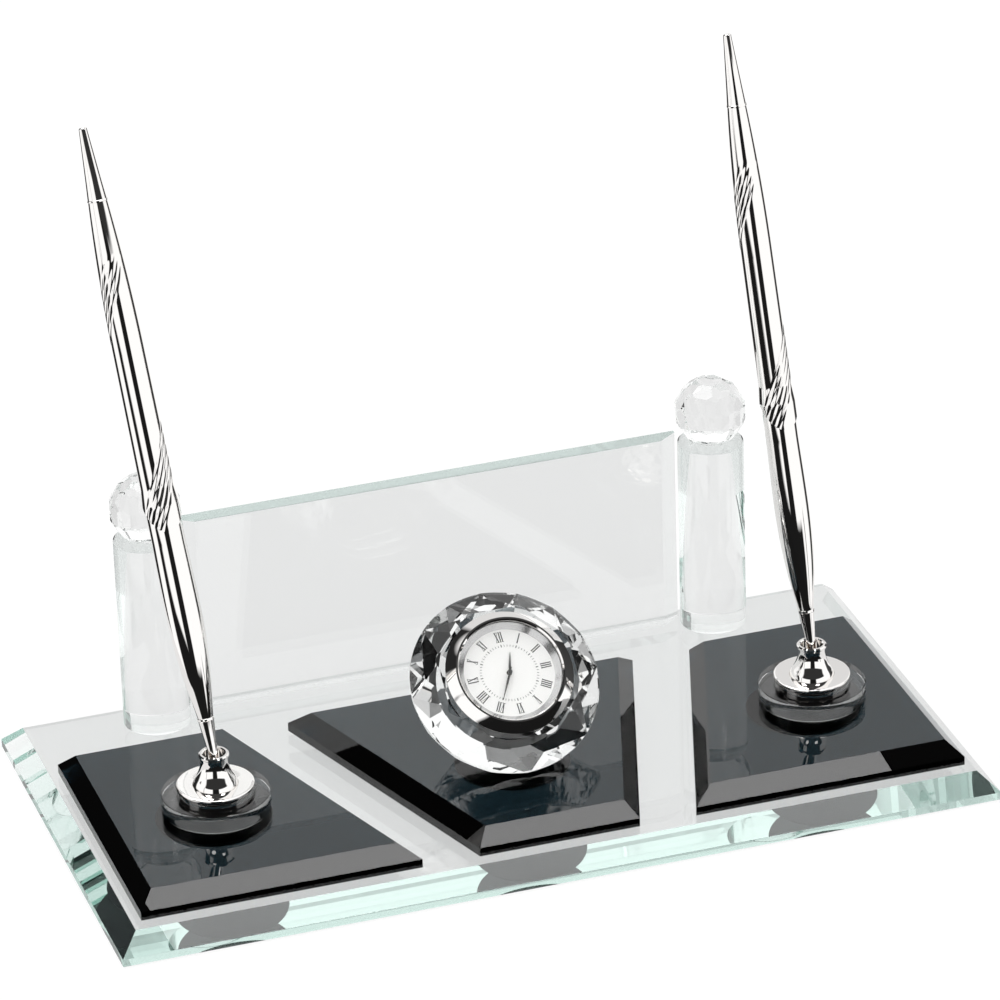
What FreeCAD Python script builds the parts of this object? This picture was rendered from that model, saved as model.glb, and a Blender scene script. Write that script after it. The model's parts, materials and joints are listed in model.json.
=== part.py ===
import FreeCAD, Part
import math
import os
import re
import Sketcher

V = FreeCAD.Vector
doc = FreeCAD.newDocument("desk_set")

# Driving sizes in millimetres and degrees.
SIZES = {
    "base_width": 250, "base_depth": 130, "base_thickness": 7.4, "base_bevel": 5.2,
    "bond_diameter": 32, "bond_thickness": 0.8, "bond_inset": 40.9,
    "plate_thickness": 6.7, "plate_bevel": 4.2, "plate_back_margin": 35.4,
    "plate_side_margin": 7.6, "plate_front_margin": 8.1,
    "centre_plate_back": 102, "centre_plate_front": 45.6, "plate_gap_back": 17, "plate_gap_front": 16.2,
    "name_thickness": 5.2, "name_height": 58.8, "name_back_margin": 7.3, "name_tuck": 0.7,
    "name_bevel_width": 5.5, "name_bevel_depth": 4,
    "pillar_side_margin": 42, "pillar_back_margin": 14.1, "pillar_diameter": 19, "pillar_height": 57.2,
    "pillar_edge": 0.4, "ball_diameter": 19.6, "ball_height": 18.9,
    "ball_row_angle": 30, "ball_end_angle": 57,
    "left_socket_shift": 0.8, "right_socket_shift": 2.5, "socket_inset": 40.5,
    "disc_diameter": 29.8, "disc_thickness": 5, "disc_edge": 0.4, "recess_depth": 1.9, "recess_gap": 0.7,
    "flange_diameter": 21.4, "flange_thickness": 2.6, "flange_foot": 1.1, "flange_groove": 0.3,
    "flange_step": 0.4, "flange_edge": 0.3, "flange_land": 0.6, "flange_dish": 0.2,
    "swivel_radius": 6.35, "swivel_drop": 1.5, "swivel_flat": 1, "swivel_height": 10.7, "swivel_fit": 0.05,
    "collar_diameter": 7, "lip_diameter": 8, "lip_height": 0.8, "lip_edge": 0.3,
    "mouth_diameter": 6, "mouth_depth": 3.3, "relief_depth": 3.5, "relief_step": 0.35,
    "left_pen_lean": 17.5, "right_pen_lean": 13.1, "left_pen_heading": 104.4, "right_pen_heading": 102.1,
    "left_pen_turn": 358, "right_pen_turn": 359, "pen_offset": 0.5, "pen_depth": 8.9, "pen_fit": 0.05,
    "tip_diameter": 2.6, "tip_length": 8.9, "nozzle_length": 17.9, "nozzle_diameter": 4.4,
    "ring_height": 0.8, "ring_step": 0.15, "spigot_wall": 0.5, "spigot_length": 4,
    "shoulder_diameter": 7.1, "shoulder_length": 9.2, "grip_diameter": 9.8, "grip_length": 30.7,
    "waist_diameter": 9.2, "waist_length": 19, "waist_band": 8,
    "neck_diameter": 8.1, "neck_taper": 6, "neck_length": 22, "bore_taper": 4,
    "skirt_diameter": 10.3, "skirt_rise": 2.4, "skirt_slope": 7.2, "skirt_flare": 4.8, "flare_diameter": 9.25,
    "body_diameter": 8.9, "taper_length": 41.9, "tail_solid": 23.7, "tail_spigot": 5, "tail_wall": 1.2,
    "tail_diameter": 5.4, "tail_ring_height": 0.6, "tail_length": 19.5,
    "tail_end_diameter": 2.3, "tail_edge": 0.4,
    "refill_diameter": 2.2, "refill_tip_diameter": 1.1, "refill_retreat": 1, "refill_point": 1,
    "refill_shoulder": 5, "refill_fit": 0.1,
    "core_wall": 1.2, "core_overlap": 9, "core_socket": 3, "stem_wall": 0.9, "stem_length": 35,
    "crystal_radius": 26.5, "girdle_thickness": 1.6, "table_land": 1, "table_height": 7, "star_step": 0.6,
    "pavilion_angle": 42, "pavilion_half_angle": 46, "crown_half_angle": 45, "crown_star_angle": 24,
    "culet_radius": 8, "clock_inset": 47.1, "clock_shift": 0.4,
    "case_diameter": 32, "case_wall": 1, "case_lift": 1.2, "case_floor": 0.8,
    "pocket_gap": 0.6, "pocket_depth": 10.6,
    "gasket_rise": 3, "gasket_height": 3.5, "gasket_taper": 0.4, "gasket_fit": 0.05,
    "bezel_overhang": 1.9, "bezel_height": 3, "bezel_edge": 0.3, "bezel_crown": 9,
    "bezel_rim": 0.5, "bezel_lip": 0.4,
    "dial_thickness": 0.4, "dial_bore": 1.6,
    "lens_seat": 0.5, "lens_rise": 1.35, "lens_thickness": 0.8, "rehaut_slope": 1.75, "rehaut_lip": 0.1,
    "movement_wall": 1, "battery_diameter": 7.9, "battery_height": 2.1, "battery_offset": 6.8,
    "arbor_diameter": 1.04, "arbor_height": 0.6, "pinion_diameter": 0.6, "pinion_height": 0.4,
    "knob_diameter": 4.4, "knob_height": 0.95, "knob_stem": 1.5, "knob_reach": 1.3,
    "knob_gap": 0.05, "knob_end_gap": 0.1,
    "hour_hand_length": 5.9, "hour_hand_width": 1.1, "hour_hand_level": 0.3, "hour_angle": 16,
    "minute_hand_length": 8.6, "minute_hand_width": 0.9, "minute_hand_level": 0.76, "minute_angle": 207,
    "hand_thickness": 0.15, "hand_tail": 1.9, "hand_belly": 2.2,
    "hand_tail_width": 0.5, "hand_tip_width": 0.14,
    "hour_hub": 2, "hour_hub_height": 0.25, "minute_hub": 1.6, "minute_hub_height": 0.4,
    "hand_fit": 0.03, "minute_bore_depth": 0.25,
}

sheet = doc.addObject("Spreadsheet::Sheet", "Sizes")
for row, (name, number) in enumerate(SIZES.items(), start=1):
    sheet.set(f"A{row}", name)
    sheet.set(f"B{row}", str(number))
    sheet.setAlias(f"B{row}", name)
doc.recompute()

EXPORTS = []
TINY = 1e-6


def full(text):
    """Turn bare size names into sheet references."""
    return re.sub(r"[a-z_]+", lambda m: "Sizes." + m[0] if m[0] in SIZES else m[0], str(text))


def value(text):
    """The present number of an expression."""
    result = sheet.evalExpression(full(text))
    return float(getattr(result, "Value", result))


def bind(item, path, text):
    item.setExpression(path, full(text))


def at(x=0, y=0, z=0, axis=("0", "0", "1"), angle=0):
    """Placement expression: a point and a turn about an axis."""
    spot = f"create(<<vector>>; {x}; {y}; {z})"
    turn = f"create(<<rotation>>; create(<<vector>>; {axis[0]}; {axis[1]}; {axis[2]}); {angle})"
    return f"create(<<placement>>; {spot}; {turn})"


def keep(item, label):
    """Mark a finished solid for export under its own name."""
    item.Label = label
    EXPORTS.append(item)
    return item


def arc_between(start, end, radius):
    """Circular arc; a positive radius bulges to the right of the way from start to end."""
    chord = end - start
    half = chord.Length / 2
    sag = abs(radius) - math.sqrt(radius * radius - half * half)
    side = V(chord.y, -chord.x, 0).normalize() * math.copysign(sag, radius)
    return Part.Arc(start, start + chord / 2 + side, end)


def loop(body, plane, corners, arcs=None):
    """Closed sketch through corners given as expression pairs; arcs maps a side to a radius."""
    arcs = arcs or {}
    sketch = body.newObject("Sketcher::SketchObject", body.Name + "_outline")
    support = [f for f in body.Origin.OriginFeatures if f.Role == plane][0]
    sketch.AttachmentSupport = (support, [""])
    sketch.MapMode = "FlatFace"
    spots = [V(value(x), value(y), 0) for x, y in corners]
    count = len(spots)
    ends = []
    for n, start in enumerate(spots):
        end = spots[(n + 1) % count]
        if n in arcs:
            sketch.addGeometry(arc_between(start, end, value(arcs[n])))
        else:
            sketch.addGeometry(Part.LineSegment(start, end))
        forward = (sketch.getPoint(n, 1) - start).Length < (sketch.getPoint(n, 2) - start).Length
        ends.append((1, 2) if forward else (2, 1))
    for n in range(count):
        after = (n + 1) % count
        sketch.addConstraint(Sketcher.Constraint("Coincident", n, ends[n][1], after, ends[after][0]))
    for n, corner in enumerate(corners):
        for kind, text, axis in (("DistanceX", corner[0], -2), ("DistanceY", corner[1], -1)):
            if abs(value(text)) < TINY:
                sketch.addConstraint(Sketcher.Constraint("PointOnObject", n, ends[n][0], axis))
                continue
            number = sketch.addConstraint(Sketcher.Constraint(kind, -1, 1, n, ends[n][0], value(text)))
            sketch.setExpression(f"Constraints[{number}]", full(text))
    for n, text in arcs.items():
        number = sketch.addConstraint(Sketcher.Constraint("Radius", n, abs(value(text))))
        sketch.setExpression(f"Constraints[{number}]", f"abs({full(text)})")
    return sketch


def new_body(label, place=None):
    body = doc.addObject("PartDesign::Body", label)
    if place:
        bind(body, "Placement", place)
    return keep(body, label)


def turned(label, corners, arcs=None, place=None):
    """Solid of revolution about the local Z axis from (radius, height) corners."""
    body = new_body(label, place)
    outline = loop(body, "XZ_Plane", corners, arcs)
    turn = body.newObject("PartDesign::Revolution", label + "_turn")
    turn.Profile = outline
    turn.ReferenceAxis = (outline, ["V_Axis"])
    turn.Angle = 360
    return body


def raised(label, corners, height, place=None):
    """Prism on a plan outline."""
    body = new_body(label, place)
    pad = body.newObject("PartDesign::Pad", label + "_pad")
    pad.Profile = loop(body, "XY_Plane", corners)
    bind(pad, "Length", height)
    doc.recompute()
    return body


def bevelled(label, corners, height, bevel, place=None):
    """Slab with a ground bevel all round its upper face."""
    body = raised(label, corners, height, place)
    pad = body.Tip
    top = pad.Shape.BoundBox.ZMax
    names = [f"Edge{n}" for n, edge in enumerate(pad.Shape.Edges, start=1)
             if all(abs(v.Z - top) < TINY for v in edge.Vertexes)]
    chamfer = body.newObject("PartDesign::Chamfer", label + "_bevel")
    chamfer.Base = (pad, names)
    bind(chamfer, "Size", bevel)
    return body


def hole(body, label, radius, height, place):
    """Round hole in a body, placed in the body's own frame."""
    cut = body.newObject("PartDesign::SubtractiveCylinder", label)
    bind(cut, "Radius", radius)
    bind(cut, "Height", height)
    bind(cut, "Placement", place)
    return cut


def facet_ring(label, count, bottom, top, low, high, turn):
    """Pyramid-like ring of flat facets between two levels, apothems low and high."""
    rings = []
    for word, level, apothem in (("low", bottom, low), ("high", top, high)):
        ring = doc.addObject("Part::RegularPolygon", f"{label}_{word}")
        ring.Polygon = count
        bind(ring, "Circumradius", f"({apothem}) / cos(180 deg / {count})")
        bind(ring, "Placement", at(z=level, angle=turn))
        rings.append(ring)
    loft = doc.addObject("Part::Loft", label)
    loft.Sections = rings
    loft.Solid = True
    loft.Ruled = True
    return loft


# Clear base, bond spots and smoked plates
BASE_SIDE = "base_width / 2"
BASE_BACK = "base_depth / 2"
bevelled("base_slab", [(f"-{BASE_SIDE}", f"-{BASE_BACK}"), (BASE_SIDE, f"-{BASE_BACK}"),
                       (BASE_SIDE, BASE_BACK), (f"-{BASE_SIDE}", BASE_BACK)],
         "base_thickness", "base_bevel")

PLATE_FRONT = f"(plate_front_margin - {BASE_BACK})"
PLATE_BACK = f"({BASE_BACK} - plate_back_margin)"
PLATE_OUTER = f"({BASE_SIDE} - plate_side_margin)"
INNER_BACK = "(centre_plate_back / 2 + plate_gap_back)"
INNER_FRONT = "(centre_plate_front / 2 + plate_gap_front)"
SIDE_MIDDLE = f"({PLATE_OUTER} / 2 + {INNER_BACK} / 4 + {INNER_FRONT} / 4)"
PLATE_PLACE = at(z="base_thickness + bond_thickness")
PLATE_TOP = "base_thickness + bond_thickness + plate_thickness"
SIDES = {"left": "-", "right": ""}

for side, offset in (("left", f"-{SIDE_MIDDLE}"), ("centre", 0), ("right", SIDE_MIDDLE)):
    bond = keep(doc.addObject("Part::Cylinder", f"{side}_bond"), f"{side}_bond")
    bind(bond, "Radius", "bond_diameter / 2")
    bind(bond, "Height", "bond_thickness")
    bind(bond, "Placement", at(offset, f"{PLATE_FRONT} + bond_inset", "base_thickness"))

for side, sign in SIDES.items():
    bevelled(f"{side}_plate", [(f"{sign}{PLATE_OUTER}", PLATE_BACK), (f"{sign}{INNER_BACK}", PLATE_BACK),
                               (f"{sign}{INNER_FRONT}", PLATE_FRONT), (f"{sign}{PLATE_OUTER}", PLATE_FRONT)],
             "plate_thickness", "plate_bevel", PLATE_PLACE)
bevelled("centre_plate", [("-centre_plate_back / 2", PLATE_BACK), ("centre_plate_back / 2", PLATE_BACK),
                          ("centre_plate_front / 2", PLATE_FRONT), ("-centre_plate_front / 2", PLATE_FRONT)],
         "plate_thickness", "plate_bevel", PLATE_PLACE)

# Name plate between two pillars with faceted balls
PILLAR_RADIUS = "pillar_diameter / 2"
PILLAR_SIDE = f"({BASE_SIDE} - pillar_side_margin)"
NAME_END = f"({PILLAR_SIDE} - {PILLAR_RADIUS} + name_tuck)"
NAME_BACK = f"({BASE_BACK} - name_back_margin)"
NAME_FRONT = f"({NAME_BACK} - name_thickness)"
raised("name_plate", [(f"-{NAME_END} + name_bevel_width", NAME_FRONT),
                      (f"{NAME_END} - name_bevel_width", NAME_FRONT),
                      (NAME_END, f"{NAME_FRONT} + name_bevel_depth"), (NAME_END, NAME_BACK),
                      (f"-{NAME_END}", NAME_BACK), (f"-{NAME_END}", f"{NAME_FRONT} + name_bevel_depth")],
       "name_height", at(z="base_thickness"))

BALL_HALF = "ball_height / 2"
WIDE_ROW_COUNT = 14
END_ROW_COUNT = 7
HALF_STEP = 180 / WIDE_ROW_COUNT
BALL_ROWS = (("middle", WIDE_ROW_COUNT, "0", 0), ("upper", WIDE_ROW_COUNT, "ball_row_angle", HALF_STEP),
             ("lower", WIDE_ROW_COUNT, "-ball_row_angle", HALF_STEP),
             ("crown", END_ROW_COUNT, "ball_end_angle", 0), ("foot", END_ROW_COUNT, "-ball_end_angle", 0))
for side, sign in SIDES.items():
    spot = (f"{sign}{PILLAR_SIDE}", f"{BASE_BACK} - pillar_back_margin")
    turned(f"{side}_pillar", [(0, 0), (PILLAR_RADIUS, 0), (PILLAR_RADIUS, "pillar_height - pillar_edge"),
                              (f"{PILLAR_RADIUS} - pillar_edge", "pillar_height"), (0, "pillar_height")],
           place=at(*spot, "base_thickness"))
    rows = []
    for name, count, slant, turn in BALL_ROWS:
        drift = f"{BALL_HALF} * tan({slant} * 1 deg)"
        reach = f"ball_diameter / 2 / cos({slant} * 1 deg)"
        rows.append(facet_ring(f"{side}_ball_{name}", count, f"-{BALL_HALF}", BALL_HALF,
                               f"{reach} + {drift}", f"{reach} - {drift}", turn))
    ball = keep(doc.addObject("Part::MultiCommon", f"{side}_ball"), f"{side}_ball")
    ball.Shapes = rows
    bind(ball, "Placement", at(*spot, f"base_thickness + pillar_height + {BALL_HALF}"))

# Pen sockets: glass disc, flange with ball seat, swivelling cup
DISC_RADIUS = "disc_diameter / 2"
DISC_TOP = f"{PLATE_TOP} + disc_thickness"
RECESS = "swivel_radius + recess_gap"
RECESS_FLOOR = "disc_thickness - recess_depth"
FLANGE_RADIUS = "flange_diameter / 2"
FLANGE_FOOT = f"{FLANGE_RADIUS} - flange_step"
SEAT = "(swivel_radius + swivel_fit)"
SEAT_LOW = f"sqrt({SEAT}^2 - (flange_thickness - swivel_drop)^2)"
SEAT_HIGH = f"sqrt({SEAT}^2 - (swivel_drop - flange_dish)^2)"
SWIVEL_LEVEL = f"{DISC_TOP} + flange_thickness - swivel_drop"
HALF = "cos(45 deg)"
FLARE = f"((swivel_radius * {HALF} - collar_diameter / 2) / (1 - {HALF}))"
COLLAR = "collar_diameter / 2"
LIP = "lip_diameter / 2"
MOUTH = "mouth_diameter / 2"
MOUTH_FLOOR = "swivel_height - mouth_depth"
SOCKET_LINE = f"({PLATE_FRONT} + socket_inset)"
SOCKETS = {"left": f"(left_socket_shift - {SIDE_MIDDLE})", "right": f"({SIDE_MIDDLE} + right_socket_shift)"}


def lean_of(side):
    """Axis and angle of the turn that leans a pen towards its heading."""
    heading = f"{side}_pen_heading * 1 deg"
    return {"axis": (f"-sin({heading})", f"cos({heading})", "0"), "angle": f"{side}_pen_lean"}


def pen_point(side, along):
    """Point of the pen axis in the swivel's frame, measured from the seated tip."""
    heading = f"{side}_pen_heading * 1 deg"
    reach = f"(pen_offset + ({along} - pen_depth) * sin({side}_pen_lean * 1 deg))"
    level = f"swivel_height + ({along} - pen_depth) * cos({side}_pen_lean * 1 deg)"
    return (f"{reach} * cos({heading})", f"{reach} * sin({heading})", level)


for side, x in SOCKETS.items():
    turned(f"{side}_disc", [(RECESS, RECESS_FLOOR), (0, RECESS_FLOOR), (0, 0),
                            (f"{DISC_RADIUS} - disc_edge", 0), (DISC_RADIUS, "disc_edge"),
                            (DISC_RADIUS, "disc_thickness - disc_edge"),
                            (f"{DISC_RADIUS} - disc_edge", "disc_thickness"), (RECESS, "disc_thickness")],
           place=at(x, SOCKET_LINE, PLATE_TOP))
    turned(f"{side}_flange", [(SEAT_LOW, 0), (FLANGE_FOOT, 0), (FLANGE_FOOT, "flange_foot"),
                              (f"{FLANGE_FOOT} - flange_groove", "flange_foot + flange_groove / 2"),
                              (FLANGE_RADIUS, "flange_foot + flange_groove"),
                              (FLANGE_RADIUS, "flange_thickness - flange_edge"),
                              (f"{FLANGE_RADIUS} - flange_edge", "flange_thickness"),
                              (f"{FLANGE_RADIUS} - flange_edge - flange_land", "flange_thickness"),
                              (SEAT_HIGH, "flange_thickness - flange_dish")],
           arcs={8: f"-{SEAT}"}, place=at(x, SOCKET_LINE, DISC_TOP))
    cup = turned(f"{side}_cup", [(0, "-swivel_flat"),
                                 ("sqrt(swivel_radius^2 - swivel_flat^2)", "-swivel_flat"),
                                 (f"swivel_radius * {HALF}", f"swivel_radius * {HALF}"),
                                 (COLLAR, f"(swivel_radius + {FLARE}) * {HALF}"),
                                 (COLLAR, "swivel_height - lip_height - lip_edge"),
                                 (LIP, "swivel_height - lip_height"), (LIP, "swivel_height - lip_edge"),
                                 (f"{LIP} - lip_edge", "swivel_height"),
                                 (f"{MOUTH} + lip_edge", "swivel_height"),
                                 (MOUTH, "swivel_height - lip_edge"), (MOUTH, MOUTH_FLOOR), (0, MOUTH_FLOOR)],
                 arcs={1: "swivel_radius", 2: f"-{FLARE}"}, place=at(x, SOCKET_LINE, SWIVEL_LEVEL))
    lean = lean_of(side)
    hole(cup, f"{side}_cup_seat", "tip_diameter / 2 + pen_fit", "pen_depth", at(*pen_point(side, 0), **lean))
    hole(cup, f"{side}_cup_relief", "tip_diameter / 2 - relief_step", "relief_depth + pen_fit",
         at(*pen_point(side, "-relief_depth"), **lean))

# Pen heights along the pen's own axis, up from the seated tip
BARREL_FOOT = "(nozzle_length + ring_height)"
GRIP_LEVEL = f"({BARREL_FOOT} + grip_length)"
WAIST_LEVEL = f"({GRIP_LEVEL} + waist_length)"
WAIST_TOP = f"({WAIST_LEVEL} + waist_band)"
NECK_TOP = f"({WAIST_TOP} + neck_length)"
SKIRT_LEVEL = f"({WAIST_TOP} + skirt_rise)"
SKIRT_LOW = f"({SKIRT_LEVEL} - skirt_slope)"
SKIRT_HIGH = f"({SKIRT_LEVEL} + skirt_slope)"
STEM_FOOT = f"({NECK_TOP} + refill_fit)"
STEM_TOP = f"({STEM_FOOT} + stem_length)"
TAIL_HOLE = f"({STEM_TOP} + tail_solid)"
TAIL_JOINT = f"({TAIL_HOLE} + refill_fit + tail_spigot)"
TAIL_FOOT = f"({TAIL_JOINT} + tail_ring_height)"
BODY_TOP = f"({TAIL_JOINT} - taper_length)"
PEN_END = f"({TAIL_FOOT} + tail_length)"

# Pen radii
TIP = "tip_diameter / 2"
NOZZLE = "nozzle_diameter / 2"
REFILL = "refill_diameter / 2"
REFILL_TIP = "refill_tip_diameter / 2"
NOZZLE_BORE = f"({REFILL} + refill_fit)"
TIP_BORE = f"({REFILL_TIP} + refill_fit)"
SPIGOT = f"({NOZZLE} - spigot_wall)"
SHOULDER = "shoulder_diameter / 2"
GRIP = "grip_diameter / 2"
WAIST = "waist_diameter / 2"
NECK = "neck_diameter / 2"
SKIRT = "skirt_diameter / 2"
BODY = "body_diameter / 2"
TAIL = "tail_diameter / 2"
TAIL_SPIGOT = f"({TAIL} - tail_wall)"
TAIL_END = "tail_end_diameter / 2"
CORE = f"({REFILL} + core_wall)"
STEM = f"({REFILL} + stem_wall)"


def swell(rise, run):
    """Radius of the arc that rises over a run and ends level."""
    return f"((({run})^2 + ({rise})^2) / (2 * ({rise})))"


# Desk pens: nozzle, rings, barrels, twist core, tail and refill
for side, x in SOCKETS.items():
    point = pen_point(side, 0)
    place = at(f"{x} + {point[0]}", f"{SOCKET_LINE} + {point[1]}", f"{SWIVEL_LEVEL} + {point[2]}",
               **lean_of(side))
    turned(f"{side}_nozzle", [(TIP_BORE, 0), (TIP, 0), (TIP, "tip_length"), (NOZZLE, "nozzle_length"),
                              (SPIGOT, "nozzle_length"), (SPIGOT, f"{BARREL_FOOT} + spigot_length"),
                              (NOZZLE_BORE, f"{BARREL_FOOT} + spigot_length"),
                              (NOZZLE_BORE, "tip_length + 2 * refill_point"),
                              (TIP_BORE, "tip_length + refill_point")], place=place)
    turned(f"{side}_nozzle_ring", [(SPIGOT, "nozzle_length"), (f"{NOZZLE} + ring_step", "nozzle_length"),
                                   (f"{NOZZLE} + ring_step", BARREL_FOOT), (SPIGOT, BARREL_FOOT)], place=place)
    turned(f"{side}_lower_barrel",
           [(SPIGOT, BARREL_FOOT), (NOZZLE, BARREL_FOOT), (SHOULDER, f"{BARREL_FOOT} + shoulder_length"),
            (GRIP, GRIP_LEVEL), (WAIST, WAIST_LEVEL), (WAIST, WAIST_TOP),
            (NECK, f"{WAIST_TOP} + neck_taper"), (NECK, NECK_TOP), (f"{CORE} + pen_fit", NECK_TOP),
            (f"{CORE} + pen_fit", f"{BARREL_FOOT} + spigot_length + bore_taper"),
            (SPIGOT, f"{BARREL_FOOT} + spigot_length")],
           arcs={2: swell(f"{GRIP} - {SHOULDER}", "grip_length - shoulder_length")}, place=place)

    turn = f"{place} * {at(angle=f'{side}_pen_turn')}"
    upper = turned(f"{side}_upper_barrel",
                   [(f"{WAIST} + pen_fit", SKIRT_LOW), (SKIRT, SKIRT_LOW), (SKIRT, SKIRT_LEVEL),
                    ("flare_diameter / 2", f"{SKIRT_LEVEL} + skirt_flare"), (BODY, BODY_TOP),
                    (TAIL, TAIL_JOINT), (TAIL_SPIGOT, TAIL_JOINT), (TAIL_SPIGOT, TAIL_HOLE), (0, TAIL_HOLE),
                    (0, STEM_TOP), (STEM, STEM_TOP), (STEM, STEM_FOOT), (f"{NECK} + pen_fit", STEM_FOOT),
                    (f"{NECK} + pen_fit", f"{WAIST_TOP} + neck_taper + pen_fit"),
                    (f"{WAIST} + pen_fit", f"{WAIST_TOP} + pen_fit")],
                   arcs={4: swell(f"{BODY} - {TAIL}", "taper_length")}, place=turn)
    below = f"{SKIRT_LOW} - 2 * skirt_slope"
    cut = upper.newObject("PartDesign::Pocket", f"{side}_upper_barrel_slope")
    cut.Profile = loop(upper, "YZ_Plane", [("-skirt_diameter", below), ("skirt_diameter", below),
                                           ("skirt_diameter", f"{SKIRT_HIGH} + skirt_slope"),
                                           ("-skirt_diameter", f"{SKIRT_LOW} - skirt_slope")])
    cut.Type = "ThroughAll"
    cut.Midplane = True

    turned(f"{side}_twist_core", [(f"{REFILL} + pen_fit", f"{NECK_TOP} - core_overlap"),
                                  (CORE, f"{NECK_TOP} - core_overlap"), (CORE, STEM_FOOT), (STEM, STEM_FOOT),
                                  (STEM, STEM_TOP), (0, STEM_TOP), (0, f"{NECK_TOP} + core_socket"),
                                  (f"{REFILL} + pen_fit", f"{NECK_TOP} + core_socket")], place=turn)
    turned(f"{side}_tail_ring", [(TAIL_SPIGOT, TAIL_JOINT), (f"{TAIL} + ring_step", TAIL_JOINT),
                                 (f"{TAIL} + ring_step", TAIL_FOOT), (TAIL_SPIGOT, TAIL_FOOT)], place=turn)
    turned(f"{side}_tail", [(0, f"{TAIL_JOINT} - tail_spigot"), (TAIL_SPIGOT, f"{TAIL_JOINT} - tail_spigot"),
                            (TAIL_SPIGOT, TAIL_FOOT), (TAIL, TAIL_FOOT), (TAIL_END, f"{PEN_END} - tail_edge"),
                            (f"{TAIL_END} - tail_edge", PEN_END), (0, PEN_END)], place=turn)
    turned(f"{side}_refill", [(0, "refill_retreat"), (f"{REFILL_TIP} / 2", "refill_retreat"),
                              (REFILL_TIP, "refill_retreat + refill_point"),
                              (REFILL_TIP, "tip_length + refill_shoulder"),
                              (REFILL, f"tip_length + refill_shoulder + {REFILL_TIP}"),
                              (REFILL, NECK_TOP), (0, NECK_TOP)], place=place)

# Faceted crystal, drawn along the clock's axis with the girdle at height zero
CASE = "case_diameter / 2"
BEZEL = f"({CASE} + bezel_overhang)"
POCKET = f"({CASE} + pocket_gap)"
TABLE = f"({BEZEL} + table_land)"
GIRDLE = "girdle_thickness / 2"
MAIN_COUNT = 8
HALF_COUNT = 16
MAIN_TURN = 180 / MAIN_COUNT
FLAT = f"(crystal_radius * cos(180 deg / {HALF_COUNT}))"
CULET = f"(-{GIRDLE} - (crystal_radius - culet_radius) * tan(pavilion_angle * 1 deg))"
CROWN = f"(crystal_radius - {TABLE}) / (table_height - {GIRDLE})"
CLOCK_LEVEL = (f"{PLATE_TOP} + crystal_radius * sin(pavilion_angle * 1 deg)"
               f" + {GIRDLE} * cos(pavilion_angle * 1 deg)")
CLOCK_PLACE = at("clock_shift", f"{PLATE_FRONT} + clock_inset", CLOCK_LEVEL, axis=("1", "0", "0"),
                 angle="pavilion_angle")


def crystal_ring(name, count, edge, level, run, turn):
    """Facets at an apothem and a level, with an inward run per unit of height."""
    low = f"{edge} - ({CULET} - ({level})) * ({run})"
    high = f"{edge} - (table_height - ({level})) * ({run})"
    return facet_ring(f"crystal_{name}", count, CULET, "table_height", low, high, turn)


def inward_run(angle):
    """Inward run per unit of height of a facet at an angle to the girdle."""
    return f"1 / tan({angle} * 1 deg)"


girdle = doc.addObject("Part::Cylinder", "crystal_girdle")
bind(girdle, "Radius", "crystal_radius")
bind(girdle, "Height", f"table_height - {CULET}")
bind(girdle, "Placement", at(z=CULET))
crystal = doc.addObject("Part::MultiCommon", "crystal_cut")
crystal.Shapes = [
    girdle,
    crystal_ring("crown_mains", MAIN_COUNT, "crystal_radius", GIRDLE, CROWN, MAIN_TURN),
    crystal_ring("crown_halves", HALF_COUNT, FLAT, GIRDLE, inward_run("crown_half_angle"), 0),
    crystal_ring("crown_stars", MAIN_COUNT, f"{TABLE} + star_step", "table_height",
                 inward_run("crown_star_angle"), 0),
    crystal_ring("pavilion_mains", MAIN_COUNT, "crystal_radius", f"-{GIRDLE}",
                 f"-{inward_run('pavilion_angle')}", MAIN_TURN),
    crystal_ring("pavilion_halves", HALF_COUNT, FLAT, f"-{GIRDLE}",
                 f"-{inward_run('pavilion_half_angle')}", 0),
]
pocket = doc.addObject("Part::Cylinder", "crystal_pocket")
bind(pocket, "Radius", POCKET)
bind(pocket, "Height", "2 * pocket_depth")
bind(pocket, "Placement", at(z="table_height - pocket_depth"))
clear = keep(doc.addObject("Part::Cut", "clock_crystal"), "clock_crystal")
clear.Base = crystal
clear.Tool = pocket
bind(clear, "Placement", CLOCK_PLACE)

# Clock insert: bezel, lens, dial, case, gasket and movement
ROOM = f"({CASE} - case_wall)"
WINDOW = f"({ROOM} - lens_seat)"
BORE = "dial_bore / 2"
GRIPPED = f"({POCKET} - gasket_fit)"
CASE_FOOT = "(table_height - pocket_depth + case_lift)"
MOVEMENT_FOOT = f"({CASE_FOOT} + case_floor)"
KNOB_TOP = f"({MOVEMENT_FOOT} + knob_reach)"
DIAL_FACE = "table_height"
DIAL_BACK = f"({DIAL_FACE} - dial_thickness)"
LENS_BACK = "(table_height + lens_rise)"
LENS_FACE = f"({LENS_BACK} + lens_thickness)"
RIM = "(table_height + bezel_height)"
GASKET_FOOT = f"({CASE_FOOT} + gasket_rise)"
GASKET_TOP = f"({GASKET_FOOT} + gasket_height)"
turned("clock_bezel", [(ROOM, "table_height"), (f"{BEZEL} - bezel_edge", "table_height"),
                       (BEZEL, "table_height + bezel_edge"), (BEZEL, "table_height + 2 * bezel_edge"),
                       (f"{WINDOW} + bezel_lip + bezel_rim", RIM), (f"{WINDOW} + bezel_lip", RIM),
                       (WINDOW, f"{RIM} - bezel_lip"), (WINDOW, LENS_FACE), (ROOM, LENS_FACE)],
       arcs={3: "bezel_crown"}, place=CLOCK_PLACE)
turned("clock_lens", [(0, LENS_BACK), (ROOM, LENS_BACK), (ROOM, LENS_FACE), (0, LENS_FACE)],
       place=CLOCK_PLACE)
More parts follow.
